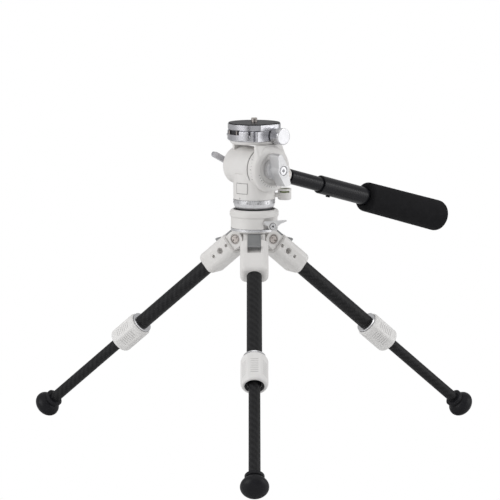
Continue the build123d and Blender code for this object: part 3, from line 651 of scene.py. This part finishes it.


# ------------------------------------------------------------------ marks, and painted shade at edges

PAN_R = 22.3
SCALE_BAND_R = 21.0
BADGE_R = 22.8
BADGE_TURN = 13.0                        # badge round the housing from the front, degrees
BADGE_HALF = (7.3, 5.7)                  # to the outside of the dark frame painting the shade at its raised edge
BADGE_Z = 276.8
RING_TOP = 264.1
INDEX = (2.4, 3.0, 264.9, 267.0)         # the housing's mark over the pan scale
DRUM_EDGE = 21.8                         # side edge of the tilt scale, along X
DRUM_STEP_SHADE = (13.4, 14.0)                 # dark line down its other side, painting the shade at the drum's step
DIAL_FACE = 30.5                         # face of the right arm, along X
DIAL_R = (18.0, 19.6)
MARK_DEPTH, MARK_SINK = 0.03, 0.05       # how far marks stand proud, and reach below the surface
STROKES = {"0": "abcdef", "1": "bc", "2": "abged", "3": "abgcd", "4": "fgbc", "5": "afgcd",
           "6": "afgecd", "7": "abc", "8": "abcdefg", "9": "abcdfg"}


def digit_bars(text, centre, foot, height):
    """Strokes of plain figures as (left, right, low, high) boxes on a surface."""
    width, thick, step = height * 0.5, height * 0.16, height * 0.75
    bars = []
    left = centre - (len(text) * step - (step - width)) / 2
    half = height / 2
    spans = {
        "a": (0, width, height - thick, height),
        "b": (width - thick, width, half, height),
        "c": (width - thick, width, 0, half),
        "d": (0, width, 0, thick),
        "e": (0, thick, 0, half),
        "f": (0, thick, half, height),
        "g": (0, width, half - thick / 2, half + thick / 2),
    }
    for figure in text:
        for stroke in STROKES[figure]:
            x0, x1, y0, y1 = spans[stroke]
            bars.append((left + x0, left + x1, foot + y0, foot + y1))
        left += step
    return bars


def marks(name, bars, surface, body, material):
    """Thin closed boxes laid on a surface given as surface(u, v, height), in millimetres."""
    points, faces = [], []
    for u0, u1, v0, v1 in bars:
        start = len(points)
        for height in (-MARK_SINK, MARK_DEPTH):
            for u, v in ((u0, v0), (u1, v0), (u1, v1), (u0, v1)):
                points.append([c * MM for c in surface(u, v, height)])
        for face in ((0, 3, 2, 1), (4, 5, 6, 7), (0, 1, 5, 4), (1, 2, 6, 5), (2, 3, 7, 6), (3, 0, 4, 7)):
            faces.append([start + k for k in face])
    mesh = bpy.data.meshes.new(name)
    mesh.from_pydata(points, [], faces)
    face_outwards(mesh)
    mesh.materials.append(material)
    place_mesh(name, mesh, body, smooth=False)


def on_pan(u, v, height):
    """Round the pan scale: u along the surface from the front, v above the floor."""
    turn = u / PAN_R
    r = PAN_R + height
    return r * math.sin(turn), -r * math.cos(turn), v


def on_badge(u, v, height):
    """On the blank badge: u round it and v up it, from its middle."""
    turn = u / BADGE_R + math.radians(BADGE_TURN)
    r = BADGE_R + height
    return r * math.sin(turn), -r * math.cos(turn), BADGE_Z + v


def badge_outline():
    """Thin dark frame just inside the badge's edge, painting the shade at its raised edge, in short steps that
    follow its curve.
    """
    wide, tall = BADGE_HALF
    thick, steps = 0.35, 12
    # painted shade: a dark frame along the badge's raised edge
    bars = [(-wide, thick - wide, -tall, tall), (wide - thick, wide, -tall, tall)]
    for step in range(steps):
        start = -wide + 2 * wide * step / steps
        for low in (-tall, tall - thick):
            bars.append((start, start + 2 * wide / steps, low, low + thick))
    return bars


def on_drum(u, v, height):
    """Round the tilt scale from its front: u along X, v up the surface."""
    turn = v / SCALE_BAND_R
    r = SCALE_BAND_R + height
    return u, -r * math.cos(turn), TILT_Z + r * math.sin(turn)


def on_dial(u, v, height):
    """On the right arm's face: u degrees round the tilt axis, v out from it."""
    turn = math.radians(u)
    return DIAL_FACE + height, v * math.cos(turn), TILT_Z + v * math.sin(turn)


def pan_bars():
    """A mark every 5 degrees round the pan scale, with figures every 30."""
    bars = []
    top = RING_TOP - 0.3
    for degree in range(0, 360, 5):
        u = degree * math.pi * PAN_R / 180
        tall = 1.5 if degree % 30 == 0 else 0.9
        bars.append((u - 0.14, u + 0.14, top - tall, top))
        if degree % 30 == 0:
            bars += digit_bars(str(degree), u, RING_TOP - 3.6, 1.4)
    return bars


def drum_bars():
    """A mark every 5 degrees of tilt, longer at 10 and 30, and beside them a dark line painting the shade at the
    drum's step.
    """
    bars = []
    step = math.radians(5) * SCALE_BAND_R
    for degree in range(-70, 81, 5):
        v = math.radians(degree) * SCALE_BAND_R
        long = 4.2 if degree % 30 == 0 else 2.8 if degree % 10 == 0 else 1.8
        bars.append((DRUM_EDGE - long, DRUM_EDGE, v - 0.2, v + 0.2))
        # painted shade: a dark line at the step between the drum and the scale band
        bars.append((*DRUM_STEP_SHADE, v, v + step))
    return bars


def add_marks(finish):
    dark = finish["nylon"]
    dial_bars = [(u - 0.6, u + 0.6, *DIAL_R) for u in range(195, 350, 10)]
    marks("pan_scale_marks", pan_bars(), on_pan, "level_ball", dark)
    marks("pan_index", [INDEX], on_pan, "pan_head", dark)
    marks("tilt_scale_marks", drum_bars(), on_drum, "pan_head", dark)
    marks("badge_outline", badge_outline(), on_badge, "pan_head", dark)
    marks("dial_marks", dial_bars, on_dial, "cradle", dark)


# ------------------------------------------------------------------ painted shade in grooves, gaps and recesses

PIN_FACE = 11.4                          # face of a hinge bolt's head from the leg's middle
PIN_GROOVE = (3.95, 4.55)
SCREW_GROOVE = (3.35, 3.85)              # round the head of the cup lever's screw
SCREW_FACE = 27.45                       # its front, from the tripod's axis along the lever's pin
SOCKET_R, SOCKET_FACE = 1.15, 27.3
SEAM_Z, SEAM_HALF = 233.45, 0.14         # dark ring painting the shade in the gap between the trim ring and the cup
SEAM_RING_R = (24.5, 25.06)
NOTCH_LOW = (-11.8, -24.2, 334.05)       # corners of the black box that paints the shade in the clamp's front window
NOTCH_HIGH = (7.4, -22.8, 338.0)


def add_pin_rings(finish):
    """Dark ring that paints the shade in the groove round the middle of each hinge bolt's head."""
    for letter in LEGS:
        origin, _, pin, _ = leg_axes(letter)
        for side, name in ((1, "left"), (-1, "right")):
            # painted shade: a dark ring in the bolt head's groove
            mesh = lathe("pin_ring", ring_profile(-0.2, 0.04, *PIN_GROOVE), 40)
            mesh.materials.append(finish["nylon"])
            place = facing(pin * side, origin + pin * (side * PIN_FACE * MM))
            place_mesh(f"pin_ring_{letter}_{name}", mesh, "base", place)


def add_lever_ring(finish):
    """Dark ring and disc that paint the shade in the groove round the head of the cup lever's screw and in its
    socket.
    """
    swing = joints["level_lever_swing"]
    axis = Vector(swing["axis"])
    axis *= math.copysign(1, axis.x)
    point = Vector(swing["pos_m"])
    place = facing(axis, point)
    offset = point.dot(axis) / MM
    # painted shade: a dark ring in the screw head's groove and a dark disc in its socket
    for name, radii, face in (("lever_ring", SCREW_GROOVE, SCREW_FACE),
                              ("lever_socket", (0.02, SOCKET_R), SOCKET_FACE)):
        front = face - offset
        mesh = lathe(name, ring_profile(front - 0.4, front, *radii), 48)
        mesh.materials.append(finish["nylon"])
        place_mesh(name, mesh, "level_lever", place)


def add_seam_ring(finish):
    """Dark ring that paints the shade in the gap between the trim ring and the cup."""
    # painted shade: a dark ring in the gap between the trim ring and the cup
    mesh = lathe("seam_ring", ring_profile(-SEAM_HALF, SEAM_HALF, *SEAM_RING_R), 128)
    mesh.materials.append(finish["nylon"])
    place = Matrix.Translation((0, 0, SEAM_Z * MM)) @ Matrix.Rotation(math.radians(-90), 4, "Y")
    place_mesh("seam_ring", mesh, "base", place)


def box_mesh(name, low, high):
    points = [(x * MM, y * MM, z * MM) for x in (low[0], high[0]) for y in (low[1], high[1])
              for z in (low[2], high[2])]
    faces = [(0, 1, 3, 2), (4, 6, 7, 5), (0, 4, 5, 1), (2, 3, 7, 6), (0, 2, 6, 4), (1, 5, 7, 3)]
    mesh = bpy.data.meshes.new(name)
    mesh.from_pydata(points, [], faces)
    face_outwards(mesh)
    return mesh


def add_notch_lining(finish):
    """Black box that paints the shade behind the two pins in the clamp's front window."""
    # painted shade: a black box in the recess behind the pins
    mesh = box_mesh("notch_lining", NOTCH_LOW, NOTCH_HIGH)
    mesh.materials.append(finish["nylon"])
    place_mesh("notch_lining", mesh, "cradle", smooth=False)


add_camera()
add_studio()
finishes = paint_all()
add_twist_locks(finishes)
add_foam_grip(finishes)
add_marks(finishes)
add_pin_rings(finishes)
add_lever_ring(finishes)
add_seam_ring(finishes)
add_notch_lining(finishes)
